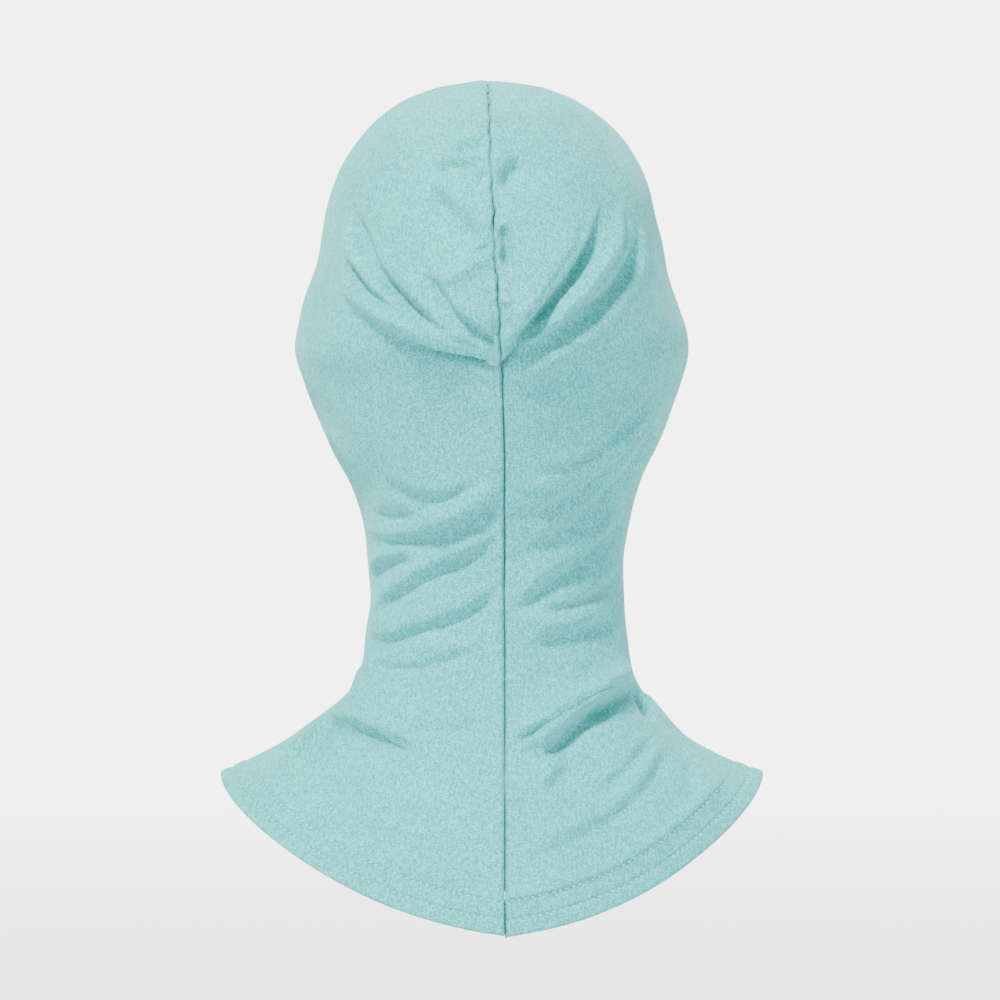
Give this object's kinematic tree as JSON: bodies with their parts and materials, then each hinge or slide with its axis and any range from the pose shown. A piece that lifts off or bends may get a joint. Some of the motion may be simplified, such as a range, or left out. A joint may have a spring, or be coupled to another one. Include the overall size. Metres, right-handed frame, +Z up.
{
  "type": "hijab underscarf cap",
  "caption": "Full-cover jersey underscarf cap for the head and neck, with a face opening, a slack pouch at the back and a flared, pointed yoke over the shoulders.",
  "frame": {"origin": "inner top of the crown, where the top of a head touches the cap", "axes": "+Z up, +Y the way the wearer looks (the face opening), -Y the back of the head, +X the wearer's right"},
  "size_m": [0.2381, 0.2185, 0.3678],
  "materials": {
    "jersey": "fine aqua jersey with a soft sheen",
    "overlock": "overlocked seam allowance of the same jersey"
  },
  "bodies": {
    "root": {"left_panel": "jersey", "right_panel": "jersey", "back_seam": "overlock", "front_seam": "overlock", "hem_turnup": "jersey", "face_hem": "jersey"}
  },
  "joints": []
}
